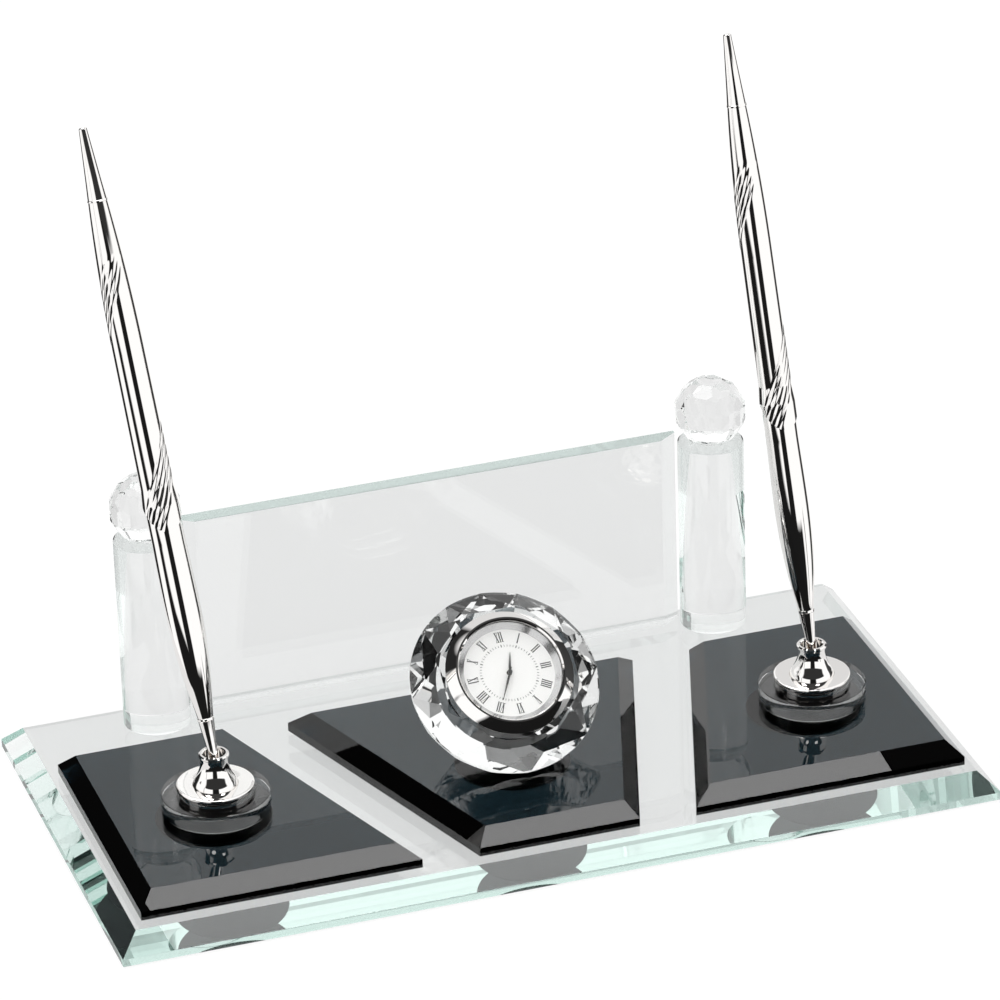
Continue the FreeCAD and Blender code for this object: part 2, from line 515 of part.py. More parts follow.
turned("clock_rehaut", [(f"{WINDOW} - rehaut_slope", DIAL_FACE), (ROOM, DIAL_FACE), (ROOM, LENS_BACK),
                        (f"{WINDOW} - rehaut_lip", LENS_BACK)], place=CLOCK_PLACE)
turned("clock_dial", [(BORE, DIAL_BACK), (ROOM, DIAL_BACK), (ROOM, DIAL_FACE), (BORE, DIAL_FACE)],
       place=CLOCK_PLACE)
turned("clock_case", [(BORE, CASE_FOOT), (CASE, CASE_FOOT), (CASE, "table_height"), (ROOM, "table_height"),
                      (ROOM, MOVEMENT_FOOT), (BORE, MOVEMENT_FOOT)], place=CLOCK_PLACE)
turned("clock_gasket", [(CASE, GASKET_FOOT), (GRIPPED, f"{GASKET_FOOT} + gasket_taper"),
                        (GRIPPED, f"{GASKET_TOP} - gasket_taper"), (CASE, GASKET_TOP)], place=CLOCK_PLACE)
movement = turned("clock_movement", [(BORE, MOVEMENT_FOOT), (f"{ROOM} - movement_wall", MOVEMENT_FOOT),
                                     (f"{ROOM} - movement_wall", DIAL_BACK), (0, DIAL_BACK),
                                     (0, f"{KNOB_TOP} + knob_end_gap"), (BORE, f"{KNOB_TOP} + knob_end_gap")],
                  place=CLOCK_PLACE)
BATTERY_PLACE = at("battery_offset", 0, MOVEMENT_FOOT)
hole(movement, "battery_pocket", "battery_diameter / 2 + knob_gap", "battery_height", BATTERY_PLACE)
battery = keep(doc.addObject("Part::Cylinder", "clock_battery"), "clock_battery")
bind(battery, "Radius", "battery_diameter / 2")
bind(battery, "Height", "battery_height")
bind(battery, "Placement", f"{CLOCK_PLACE} * {BATTERY_PLACE}")
ARBOR = "arbor_diameter / 2"
PINION = "pinion_diameter / 2"
ARBOR_TOP = f"({DIAL_FACE} + arbor_height)"
turned("clock_arbor", [(0, DIAL_BACK), (ARBOR, DIAL_BACK), (ARBOR, ARBOR_TOP), (PINION, ARBOR_TOP),
                       (PINION, f"{ARBOR_TOP} + pinion_height"), (0, f"{ARBOR_TOP} + pinion_height")],
       place=CLOCK_PLACE)
KNOB = "knob_diameter / 2"
KNOB_BACK = f"({CASE_FOOT} - knob_gap)"
turned("setting_knob", [(0, f"{KNOB_BACK} - knob_height"), (KNOB, f"{KNOB_BACK} - knob_height"),
                        (KNOB, KNOB_BACK), ("knob_stem / 2", KNOB_BACK), ("knob_stem / 2", KNOB_TOP),
                        (0, KNOB_TOP)], place=CLOCK_PLACE)


def hand(name, bore, bore_depth):
    """Slim tapered hand with a round hub."""
    tail = "hand_tail_width / 2"
    belly = f"{name}_hand_width / 2"
    tip = "hand_tip_width / 2"
    reach = f"{name}_hand_length"
    level = f"{DIAL_FACE} + {name}_hand_level"
    body = raised(f"{name}_hand", [(f"-{tail}", "-hand_tail"), (tail, "-hand_tail"), (belly, "hand_belly"),
                                   (tip, reach), (f"-{tip}", reach), (f"-{belly}", "hand_belly")],
                  "hand_thickness", f"{CLOCK_PLACE} * {at(z=level, angle=f'-{name}_angle')}")
    boss = body.newObject("PartDesign::AdditiveCylinder", f"{name}_hand_hub")
    bind(boss, "Radius", f"{name}_hub / 2")
    bind(boss, "Height", f"{name}_hub_height")
    hole(body, f"{name}_hand_bore", f"{bore} + hand_fit", bore_depth, at())


hand("hour", ARBOR, "hour_hub_height")
hand("minute", PINION, "minute_bore_depth")

# Check and export
doc.recompute()
for item in doc.Objects:
    if "Invalid" in item.State or "Error" in item.State:
        raise RuntimeError(f"{item.Label} did not rebuild: {item.State}")
os.makedirs("parts", exist_ok=True)
for item in EXPORTS:
    shape = item.Shape
    if shape.isNull() or not shape.isValid() or len(shape.Solids) != 1:
        raise RuntimeError(f"{item.Label} is not one valid solid")
    shape.exportStep(f"parts/{item.Label}.step")
    print(f"{item.Label}: {shape.Volume:.1f} mm3")
print(len(EXPORTS), "solids")
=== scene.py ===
# %% [markdown]
# # A glass desk set
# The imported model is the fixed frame: every solid is already in its place, in metres.
# This lesson adds what the solids leave out: smooth turned metal, carved pen barrels,
# a printed dial, and the glass, crystal and chrome that make the set what it is.

# %% Load the frame
import bpy
import bmesh
import json
import math
from mathutils import Matrix, Vector


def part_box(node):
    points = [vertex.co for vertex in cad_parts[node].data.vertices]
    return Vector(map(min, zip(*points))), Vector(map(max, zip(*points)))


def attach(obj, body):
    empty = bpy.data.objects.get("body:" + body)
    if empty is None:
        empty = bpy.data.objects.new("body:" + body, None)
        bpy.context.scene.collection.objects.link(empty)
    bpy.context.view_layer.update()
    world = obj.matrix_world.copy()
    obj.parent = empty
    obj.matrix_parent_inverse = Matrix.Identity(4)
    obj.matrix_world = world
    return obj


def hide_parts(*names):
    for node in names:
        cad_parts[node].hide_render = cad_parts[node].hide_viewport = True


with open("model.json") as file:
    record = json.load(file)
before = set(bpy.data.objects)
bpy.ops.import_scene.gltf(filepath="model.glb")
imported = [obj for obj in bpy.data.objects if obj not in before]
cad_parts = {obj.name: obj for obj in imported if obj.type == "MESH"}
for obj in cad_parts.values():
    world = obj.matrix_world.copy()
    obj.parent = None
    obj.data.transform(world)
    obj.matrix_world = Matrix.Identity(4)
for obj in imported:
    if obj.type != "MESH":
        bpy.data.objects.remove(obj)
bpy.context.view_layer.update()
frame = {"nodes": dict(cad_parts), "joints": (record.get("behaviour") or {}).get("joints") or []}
nodes = frame["nodes"]
joints = {joint["name"]: joint for joint in frame["joints"]}
MM = 0.001

# %% [markdown]
# ## The camera
# The set was taken with a long lens from the front left, a little above the desk. The
# three directions below were solved from the corners of the glass plates, so the
# camera is placed by its own right, up and forward directions and needs no shift.
# Light crosses many glass faces here, so the limits on its bounces are raised.

# %% Place the camera
SENSOR_WIDTH, LENS = 36, 232.28
GLASS_BOUNCES = 96
camera_spot = Vector((-466.67, -1499.58, 872.38)) * MM
forward = Vector((0.267631, 0.852853, -0.448348)).normalized()
right = Vector((0.949238, -0.313205, -0.029155))
right = (right - forward * right.dot(forward)).normalized()
up = right.cross(forward)
camera_data = bpy.data.cameras.new("desk_camera")
camera_data.sensor_width = SENSOR_WIDTH
camera_data.lens = LENS
camera = bpy.data.objects.new("desk_camera", camera_data)
turn = Matrix((right, up, -forward)).transposed().to_4x4()
camera.matrix_world = Matrix.Translation(camera_spot) @ turn
bpy.context.scene.collection.objects.link(camera)
bpy.context.scene.camera = camera
bpy.context.scene.view_settings.view_transform = "Standard"
for kind in ("max_bounces", "transmission_bounces", "glossy_bounces"):
    setattr(bpy.context.scene.cycles, kind, GLASS_BOUNCES)
print("camera at", tuple(round(value, 3) for value in camera_spot))

# %% [markdown]
# ## Helpers for materials
# One function turns a written sRGB colour into the linear values that shaders use,
# and one adds a node with its settings and links. Every finish below uses both.

# %% Colour and node helpers


def linear(code):
    """Linear colour from an sRGB hex code."""
    parts = [int(code[i:i + 2], 16) / 255 for i in (0, 2, 4)]
    return [p / 12.92 if p <= 0.04045 else ((p + 0.055) / 1.055) ** 2.4 for p in parts] + [1]


def add(tree, kind, inputs=None, **settings):
    """A node with its settings; an input is a plain value or another node's output."""
    node = tree.nodes.new(kind)
    for name, value in settings.items():
        setattr(node, name, value)
    for name, value in (inputs or {}).items():
        if isinstance(value, bpy.types.NodeSocket):
            tree.links.new(value, node.inputs[name])
        else:
            node.inputs[name].default_value = value
    return node


def new_material(name):
    """An empty node material and its output."""
    material = bpy.data.materials.new(name)
    material.use_nodes = True
    material.node_tree.nodes.clear()
    return material, material.node_tree, material.node_tree.nodes.new("ShaderNodeOutputMaterial")


def finish_with(tree, output, surface, volume=None):
    """Join a surface, and a volume where there is one, to the output."""
    tree.links.new(surface, output.inputs["Surface"])
    if volume:
        tree.links.new(volume, output.inputs["Volume"])


print("helpers ready")

# %% [markdown]
# ## Glass
# Float glass is nearly colourless across its thickness and green along it, because the
# iron in it takes up a little red over every centimetre. So the colour is put in the
# volume, as light lost per metre, and the surface stays a plain polished one. Smoked
# glass loses light about a hundred times faster.

# %% Glass materials


def glass(name, ior, lost_colour, lost_per_metre):
    """Polished glass whose colour grows with the distance that light travels in it."""
    material, tree, output = new_material(name)
    body = add(tree, "ShaderNodeBsdfPrincipled", {"Base Color": (1, 1, 1, 1), "Roughness": 0.0,
                                                  "IOR": ior, "Transmission Weight": 1.0})
    volume = add(tree, "ShaderNodeVolumeAbsorption", {"Color": linear(lost_colour),
                                                      "Density": lost_per_metre})
    finish_with(tree, output, body.outputs[0], volume.outputs[0])
    return material


# Float glass shows mint green in the base's bevels and along the name plate's edges.
float_glass = glass("float_glass", 1.52, "A6D6CA", 5.5)
# Low-iron glass stays nearly white, even down the length of a pillar.
white_glass = glass("white_glass", 1.52, "C4E4DA", 1.5)
# Cut crystal is clear, so that only its facets bend and break up what is behind it.
crystal_glass = glass("crystal_glass", 1.52, "E8EEEA", 3.0)
# Smoked glass is so dense that its polished top is almost a dark mirror.
smoked_glass = glass("smoked_glass", 1.52, "6894A0", 620.0)
# Watch glass is thin and clear, and shows by its reflections alone.
watch_glass = glass("watch_glass", 1.5, "F4F6F6", 2.0)
print("glass:", [m.name for m in (float_glass, white_glass, crystal_glass, smoked_glass, watch_glass)])

# %% [markdown]
# ## Metal, dial and small parts
# Bright chrome on turned brass is a near mirror: metallic, very smooth, with polishing
# marks that only break up the edges of its reflections. Real marks are finer than a
# pixel, so they are drawn about a millimetre across. The dial is a satin lacquer, the
# hands and numerals are black paint and ink, and the inner parts are plain and dark.

# %% Metal and plain materials


def polished_metal(name, colour, roughness, marks_mm, marks_depth_mm):
    """Bright metal with faint polishing marks about marks_mm across."""
    material, tree, output = new_material(name)
    coordinates = add(tree, "ShaderNodeTexCoord")
    marks = add(tree, "ShaderNodeTexNoise", {"Vector": coordinates.outputs["Object"],
                                             "Scale": 1 / (marks_mm * MM), "Detail": 3.0})
    spread = add(tree, "ShaderNodeMapRange", {"Value": marks.outputs[0], "To Min": roughness * 0.6,
                                              "To Max": roughness * 1.4})
    bump = add(tree, "ShaderNodeBump", {"Height": marks.outputs[0], "Strength": 0.15,
                                        "Distance": marks_depth_mm * MM})
    body = add(tree, "ShaderNodeBsdfPrincipled", {"Base Color": linear(colour), "Metallic": 1.0,
                                                  "Roughness": spread.outputs[0], "Normal": bump.outputs[0]})
    finish_with(tree, output, body.outputs[0])
    return material


def coated(name, colour, darker, roughness, grain_mm, grain_depth_mm, coat=0.0):
    """Paint, plastic or rubber with a fine grain and a slight change of tone."""
    material, tree, output = new_material(name)
    coordinates = add(tree, "ShaderNodeTexCoord")
    grain = add(tree, "ShaderNodeTexNoise", {"Vector": coordinates.outputs["Object"],
                                             "Scale": 1 / (grain_mm * MM), "Detail": 4.0})
    tone = add(tree, "ShaderNodeMix", {"Factor": grain.outputs[0], 6: linear(darker), 7: linear(colour)},
               data_type="RGBA")
    bump = add(tree, "ShaderNodeBump", {"Height": grain.outputs[0], "Strength": 0.3,
                                        "Distance": grain_depth_mm * MM})
    body = add(tree, "ShaderNodeBsdfPrincipled", {"Base Color": tone.outputs[2], "Roughness": roughness,
                                                  "Coat Weight": coat, "Normal": bump.outputs[0]})
    finish_with(tree, output, body.outputs[0])
    return material


# Chrome gives sharp black and white stripes; satin nickel blurs them to soft greys.
bright_chrome = polished_metal("bright_chrome", "F4F2F0", 0.03, 1.5, 0.002)
brushed_nickel = polished_metal("satin_nickel", "D4D4D4", 0.12, 0.4, 0.004)
# Turned brass is a warm, half-bright yellow in the pens and behind the dial.
plain_brass = polished_metal("turned_brass", "C9A25A", 0.2, 0.6, 0.004)
# The lacquer is an even white, and the ink on it dull enough to read from any side.
dial_lacquer = coated("dial_lacquer", "F6F6F4", "F1F1EF", 0.35, 0.4, 0.002)
dial_ink = coated("dial_ink", "1A1A1A", "222222", 0.5, 0.2, 0.001)
# The hands' gloss paint catches a thin light along the blade.
hand_paint = coated("hand_paint", "141414", "1D1D1D", 0.25, 0.3, 0.001, coat=0.5)
# Moulded plastic has a soft sheen, rubber next to none.
moulded_black = coated("moulded_black", "121212", "0C0C0C", 0.45, 0.8, 0.01)
gasket_rubber = coated("gasket_rubber", "161616", "0E0E0E", 0.8, 0.5, 0.02)
# Cured glue between base and plate looks like a dark grey spot from inside the base.
cured_bond = coated("cured_bond", "54585A", "4A4E50", 0.4, 6.0, 0.002)
print("metal and coatings ready")

# %% [markdown]
# ## Turned pieces
# Pens, cups, flanges, discs and pillars are all turned, so each is a half outline spun
# about its own axis. The solids have nearly the same outlines; spinning them again with
# many steps gives the round, even highlights that polished metal and glass need.

# %% The lathe
MERGE = 1e-7
SMALL_TURN, MIDDLE_TURN, LARGE_TURN = 96, 128, 160


def spun(outline, steps, closed=True):
    """Mesh turned from an outline of (radius, height) corners in millimetres."""
    mesh = bmesh.new()
    corners = [mesh.verts.new((radius * MM, 0, height * MM)) for radius, height in outline]
    pairs = zip(corners, corners[1:] + corners[:1] if closed else corners[1:])
    edges = [mesh.edges.new(pair) for pair in pairs if pair[0].co.x or pair[1].co.x]
    bmesh.ops.spin(mesh, geom=corners + edges, cent=(0, 0, 0), axis=(0, 0, 1), dvec=(0, 0, 0),
                   angle=2 * math.pi, steps=steps, use_merge=True, use_duplicate=False)
    bmesh.ops.remove_doubles(mesh, verts=mesh.verts, dist=MERGE)
    bmesh.ops.dissolve_degenerate(mesh, edges=mesh.edges, dist=MERGE / 10)
    bmesh.ops.recalc_face_normals(mesh, faces=mesh.faces)
    return mesh


def settle(mesh, name, place, material, body, stands_for, sharp=30):
    """Finish a mesh as a smooth piece with crisp corners that rides on a body."""
    for face in mesh.faces:
        face.smooth = True
    for edge in mesh.edges:
        edge.smooth = len(edge.link_faces) == 2 and edge.calc_face_angle() < math.radians(sharp)
    mesh.transform(place)
    data = bpy.data.meshes.new(name)
    mesh.to_mesh(data)
    mesh.free()
    piece = bpy.data.objects.new(name, data)
    bpy.context.scene.collection.objects.link(piece)
    piece.data.materials.append(material)
    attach(piece, body)
    if stands_for:
        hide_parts(*stands_for)
    return piece


def turned(outline, steps, name, place, body, node, material=bright_chrome):
    """Spin an outline and settle it in the place of one solid."""
    return settle(spun(outline, steps), name, place, material, body, [node])


def rounded(outline, turns, steps=10):
    """Outline with some sides made arcs: turns maps a side to its bulge in millimetres."""
    result = []
    for index, start in enumerate(outline):
        result.append(start)
        if index not in turns:
            continue
        end = outline[(index + 1) % len(outline)]
        chord = Vector((end[0] - start[0], end[1] - start[1]))
        bulge = turns[index]
        radius = (chord.length ** 2 / 4 + bulge ** 2) / (2 * abs(bulge))
        half = math.asin(min(1, chord.length / 2 / radius))
        side = Vector((chord.y, -chord.x)).normalized() * math.copysign(1, bulge)
        middle = Vector(start) + chord / 2 - side * (radius - abs(bulge))
        for step in range(1, steps):
            angle = half * (2 * step / steps - 1)
            spot = middle + side * radius * math.cos(angle) + chord.normalized() * radius * math.sin(angle)
            result.append((spot.x, spot.y))
    return result


def along(joint):
    """Place of a piece that is turned about a joint's axis, from the joint's own point."""
    lean = Vector((0, 0, 1)).rotation_difference(Vector(joint["axis"])).to_matrix().to_4x4()
    return Matrix.Translation(Vector(joint["pos_m"])) @ lean


print("lathe ready")

# %% [markdown]
# ## Sockets
# Each pen stands in a bell-shaped cup whose lower end is a ball. A polished flange
# holds that ball, and the flange sits on a clear glass disc. The bell is a ball's arc
# that turns into a hollow one at the knee, so both arcs meet there without a corner.

# %% Discs, flanges and cups
BOND = 0.04
BALL = 6.35
KNEE = math.radians(33)
NECK = 3.75
FLARE = (BALL * math.cos(KNEE) - NECK) / (1 - math.cos(KNEE))


def sagitta(radius, a, b):
    """Height of the arc of a radius over the chord from a to b."""
    half = math.dist(a, b) / 2
    return radius - math.sqrt(radius * radius - half * half)


for side in ("left", "right"):
    ball_centre = Vector(joints[f"{side}_cup_tilt"]["pos_m"])
    disc_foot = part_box(f"{side}_disc")[0].z
    disc_place = Matrix.Translation((*ball_centre.xy, disc_foot))
    disc = [(0, -BOND), (14.75, -BOND), (14.9, 0.15), (14.9, 4.85), (14.75, 5), (7.05, 5), (7.05, 3.1),
            (0, 3.1)]
    turned(disc, MIDDLE_TURN, f"{side}_glass_disc", disc_place, "base", f"{side}_disc", white_glass)
    flange_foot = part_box(f"{side}_flange")[0].z
    flange_place = Matrix.Translation((*ball_centre.xy, flange_foot))
    flange = [(6.3, 0), (10.3, 0), (10.3, 1.1), (10.0, 1.25), (10.7, 1.4), (10.7, 2.2), (10.6, 2.5),
              (10.4, 2.6), (9.8, 2.6), (6.27, 2.4)]
    turned(flange, LARGE_TURN, f"{side}_seat_flange", flange_place, "base", f"{side}_flange")
    low = (math.sqrt(BALL ** 2 - 1), -1)
    knee = (BALL * math.cos(KNEE), BALL * math.sin(KNEE))
    waist = (NECK, (BALL + FLARE) * math.sin(KNEE))
    bell = rounded([(0, -1), low, knee, waist, (NECK, 9.5), (4.15, 9.85), (4.15, 10.35), (3.85, 10.7),
                    (3.3, 10.7), (3, 10.4), (3, 7.4), (0, 7.4)],
                   {1: sagitta(BALL, low, knee), 2: -sagitta(FLARE, knee, waist)}, steps=16)
    turned(bell, MIDDLE_TURN, f"{side}_bell_cup", Matrix.Translation(ball_centre), f"{side}_swivel",
           f"{side}_cup")
print("sockets made")

# %% [markdown]
# ## Pens
# A desk pen is a slim lower barrel, a longer upper barrel that slides over it with a
# slanted lip, and a tapered tail. A band of fine grooves winds once round the upper
# barrel, so its mesh is dense enough to carry them as real dents.

# %% Pen outlines and grooves
GROOVE_TURN, GROOVE_START, GROOVE_FRONT = 64.0, 80.0, -105.0
GROOVE_LOW, GROOVE_HIGH = 68.0, 148.0
GROOVE_COUNT, GROOVE_STEP, GROOVE_DEPTH, GROOVE_SHARE = 5, 1.25, 0.16, 0.36
FADE_IN, FADE_OUT = 4, 9
BARREL_GIRTH = 28


def swelling(start, end, steps=24):
    """Points of an arc that leaves start and ends level at end, seen along the pen."""
    run, rise = end[1] - start[1], end[0] - start[0]
    radius = (run * run + rise * rise) / (2 * rise)
    points = []
    for step in range(steps + 1):
        height = run * step / steps
        points.append((end[0] - radius + math.sqrt(radius * radius - (run - height) ** 2), start[1] + height))
    return points


def stretch(start, end, step=0.4):
    """Points from start up to, but not at, end, about a step apart."""
    count = math.ceil((end[1] - start[1]) / step)
    return [(start[0] + (end[0] - start[0]) * n / count, start[1] + (end[1] - start[1]) * n / count)
            for n in range(count)]


def groove_dent(angle, height):
    """How far the groove band dents the barrel at an angle and a height, in millimetres."""
    fade = min(1, max(0, (height - GROOVE_LOW) / FADE_IN)) * min(1, max(0, (GROOVE_HIGH - height) / FADE_OUT))
    if fade <= 0:
        return 0
    wound = (angle - math.radians(GROOVE_FRONT)) / (2 * math.pi) * GROOVE_TURN
    rise = (height - GROOVE_START - wound + GROOVE_TURN / 2) % GROOVE_TURN - GROOVE_TURN / 2
    offset = rise * BARREL_GIRTH / math.hypot(BARREL_GIRTH, GROOVE_TURN)
    index = round(offset / GROOVE_STEP)
    if abs(index) > GROOVE_COUNT // 2:
        return 0
    distance = abs(offset - index * GROOVE_STEP) / (GROOVE_STEP * GROOVE_SHARE)
    return GROOVE_DEPTH * fade * max(0, 1 - distance * distance)


for side in ("left", "right"):
    place = along(joints[f"{side}_pen_twist"])
    nozzle = [(0.65, 0), (1.2, 0), (1.3, 0.1), (1.3, 8.9), (2.2, 17.9), (0.65, 17.9)]
    turned(nozzle, SMALL_TURN, f"{side}_pen_nozzle", place, f"{side}_pen", f"{side}_nozzle")
    ring = [(1.7, 17.9), (2.25, 17.9), (2.35, 18.0), (2.35, 18.6), (2.25, 18.7), (1.7, 18.7)]
    turned(ring, SMALL_TURN, f"{side}_pen_ring", place, f"{side}_pen", f"{side}_nozzle_ring")
    grip = [(1.7, 18.7), (2.2, 18.7)] + swelling((3.55, 27.9), (4.9, 49.4)) + [
        (4.88, 53), (4.82, 57), (4.72, 62), (4.62, 67), (4.6, 68.4), (4.6, 76.4), (4.05, 82.4), (4.05, 98.4),
        (2.35, 98.4), (2.35, 26.7), (1.7, 22.7)]
    turned(grip, MIDDLE_TURN, f"{side}_grip_barrel", place, f"{side}_pen", f"{side}_lower_barrel")
print("lower barrels made")

# %% [markdown]
# ## Carved upper barrels
# The outside is spun as an open tube and dented by the grooves, the bore is a second
# tube that shares its top ring, and one slanted cut trims both. Bridging the two cut
# rings closes the lip.

# %% Carved upper barrels and tails
CARVED_TURN, CARVED_SHARP = 168, 40
LIP_RADIUS, FLARE_RADIUS, BARREL_RADIUS, TOP_RADIUS = 5.15, 4.625, 4.45, 2.7
BARREL_FOOT, LIP_LEVEL, FLARE_TOP, TAPER_FOOT, BARREL_TOP = 66, 78.8, 83.6, 120.4, 162.3
LIP_DROP = 7.2
CLOCKING = {"left": 358, "right": 359}
for side, clocking in CLOCKING.items():
    place = along(joints[f"{side}_pen_twist"]) @ Matrix.Rotation(math.radians(clocking), 4, "Z")
    outer = stretch((LIP_RADIUS, BARREL_FOOT), (LIP_RADIUS, LIP_LEVEL))
    outer += stretch((LIP_RADIUS, LIP_LEVEL), (FLARE_RADIUS, FLARE_TOP))
    outer += stretch((FLARE_RADIUS, FLARE_TOP), (BARREL_RADIUS, TAPER_FOOT))
    taper = swelling((TOP_RADIUS, TAPER_FOOT), (BARREL_RADIUS, BARREL_TOP), 100)
    outer += [(radius, TAPER_FOOT + BARREL_TOP - height) for radius, height in taper[::-1]]
    inner = [(TOP_RADIUS, BARREL_TOP), (1.5, BARREL_TOP), (1.5, 157.2), (0, 157.2), (0, 133.5), (2.0, 133.5),
             (2.0, 98.5), (4.1, 98.5), (4.1, 82.5), (4.65, 76.5), (4.65, BARREL_FOOT)]
    mesh = spun(outer, CARVED_TURN, closed=False)
    for vert in mesh.verts:
        dent = groove_dent(math.atan2(vert.co.y, vert.co.x), vert.co.z / MM) * MM
        shrink = 1 - dent / math.hypot(vert.co.x, vert.co.y)
        vert.co.x *= shrink
        vert.co.y *= shrink
    lining = bpy.data.meshes.new("lining")
    bore = spun(inner, CARVED_TURN, closed=False)
    bore.to_mesh(lining)
    bore.free()
    mesh.from_mesh(lining)
    bpy.data.meshes.remove(lining)
    bmesh.ops.remove_doubles(mesh, verts=mesh.verts, dist=MERGE)
    slanted = Vector((0, 2 * LIP_DROP, -2 * LIP_RADIUS)).normalized()
    cut = bmesh.ops.bisect_plane(mesh, geom=mesh.verts[:] + mesh.edges[:] + mesh.faces[:], dist=MERGE,
                                 plane_co=(0, 0, LIP_LEVEL * MM), plane_no=slanted, clear_outer=True)
    rim = [part for part in cut["geom_cut"] if isinstance(part, bmesh.types.BMEdge) and part.is_boundary]
    bmesh.ops.bridge_loops(mesh, edges=rim)
    bmesh.ops.recalc_face_normals(mesh, faces=mesh.faces)
    settle(mesh, f"{side}_carved_barrel", place, bright_chrome, f"{side}_twist", [f"{side}_upper_barrel"],
           sharp=CARVED_SHARP)
    band = [(1.5, 162.3), (2.75, 162.3), (2.85, 162.4), (2.85, 162.8), (2.75, 162.9), (1.5, 162.9)]
    turned(band, SMALL_TURN, f"{side}_tail_band", place, f"{side}_twist", f"{side}_tail_ring")
    tail = [(0, 162.9), (2.7, 162.9), (2.3, 167.5), (1.15, 181.9), (1.1, 182.1), (0.95, 182.3), (0.75, 182.4),
            (0, 182.4)]
    turned(tail, SMALL_TURN, f"{side}_pen_tail", place, f"{side}_twist", f"{side}_tail")
print("upper barrels carved")

# %% [markdown]
# ## Pillars
# The two round glass posts are spun too, so their long highlights run straight. Their
# feet go a hair into the base, as a bonded joint shows no gap.

# %% Glass pillars
for side in ("left", "right"):
    low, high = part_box(f"{side}_pillar")
    middle = (low + high) / 2
    post = [(0, -BOND), (9.5, -BOND), (9.5, 56.8), (9.35, 57.1), (9.1, 57.2), (0, 57.2)]
    turned(post, LARGE_TURN, f"{side}_glass_post", Matrix.Translation((middle.x, middle.y, low.z)), "base",
           f"{side}_pillar", white_glass)
print("pillars made")

# %% [markdown]
# ## Bonded glass
# Two glass pieces that are bonded show no line between them. Where their faces only meet,
# light leaves one and misses the other, so each upper piece is a copy of its solid that
# sits a few hundredths of a millimetre in the piece below. The bonds themselves are
# opaque: clear glue lets the base look straight into the dark plate above it, so from
# inside the base each bond is a dark grey spot.

# %% Name plate, balls, crystal and bonds
FACET_SHARP = 1


def solid_copy(node):
    """Copy of a solid's mesh with the seams between its faces joined."""
    mesh = bmesh.new()
    mesh.from_mesh(nodes[node].data)
    bmesh.ops.remove_doubles(mesh, verts=mesh.verts, dist=MERGE)
    return mesh


for name, node, material, slot in (("clear_name_plate", "name_plate", float_glass, "clear_glass"),
                                   ("left_cut_ball", "left_ball", crystal_glass, "crystal"),
                                   ("right_cut_ball", "right_ball", crystal_glass, "crystal"),
                                   ("cut_crystal", "clock_crystal", crystal_glass, "crystal")):
    sunk = Matrix.Translation((0, 0, -BOND * MM))
    settle(solid_copy(node), name, sunk, material, "base", [node], sharp=FACET_SHARP)
for side in ("left", "centre", "right"):
    low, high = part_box(f"{side}_bond")
    middle = (low + high) / 2
    radius, depth = (high.x - low.x) / 2 / MM, (high.z - low.z) / MM
    spot = [(0, -BOND), (radius, -BOND), (radius - 0.2, depth / 2), (radius, depth + BOND), (0, depth + BOND)]
    turned(spot, SMALL_TURN, f"{side}_bond_spot", Matrix.Translation((middle.x, middle.y, low.z)), "base",
           f"{side}_bond", cured_bond)
print("bonded pieces made")

# %% [markdown]
# ## The clock
# The insert is a chrome bezel over a white dial with black Roman numerals and a ring of
# minute marks. The numerals stand upright towards the rim all the way round, so each is
# a few flat strokes turned to its own hour and laid just over the dial.

# %% Bezel
BEZEL_TURN = 192
clock_axis = Vector(joints["minute_turn"]["axis"])
clock_place = along(joints["minute_turn"])
bezel = rounded([(15, 7), (17.6, 7), (17.9, 7.3), (17.9, 7.6), (15.4, 10), (14.9, 10), (14.5, 9.6),
                 (14.5, 9.15), (15, 9.15)], {3: 0.02}, steps=6)
turned(bezel, BEZEL_TURN, "clock_bright_bezel", clock_place, "clock_insert", "clock_bezel")
print("bezel made")

# %% Numerals and minute marks
DIAL_FACE = 7.0
PRINT_LIFT = 0.03
DIAL_TURN = 2.0
NUMERAL_FOOT, TRACK = 9.1, 8.0
FIVE_MINUTE_MARK, MINUTE_MARK = (0.24, 0.75), (0.13, 0.6)
LETTER_HEIGHT, LETTER_GAP, SERIF = 3.0, 0.16, 0.14
LETTERS = {"I": (0.42, [(0.21, 3, 0.21, 0, 0.3)]),
           "V": (0.95, [(0.17, 3, 0.48, 0, 0.3), (0.88, 3, 0.48, 0, 0.12)]),
           "X": (0.98, [(0.17, 3, 0.81, 0, 0.3), (0.85, 3, 0.13, 0, 0.12)])}
NUMERALS = ("XII", "I", "II", "III", "IIII", "V", "VI", "VII", "VIII", "IX", "X", "XI")


def stroke(mesh, turn, x0, y0, x1, y1, width):
    """Flat stroke between two spots, as wide across the dial as it is asked to be."""
    level = (DIAL_FACE + PRINT_LIFT) * MM
    spots = ((x0 - width / 2, y0), (x1 - width / 2, y1), (x1 + width / 2, y1), (x0 + width / 2, y0))
    mesh.faces.new([mesh.verts.new(turn @ Vector((x * MM, y * MM, level))) for x, y in spots])


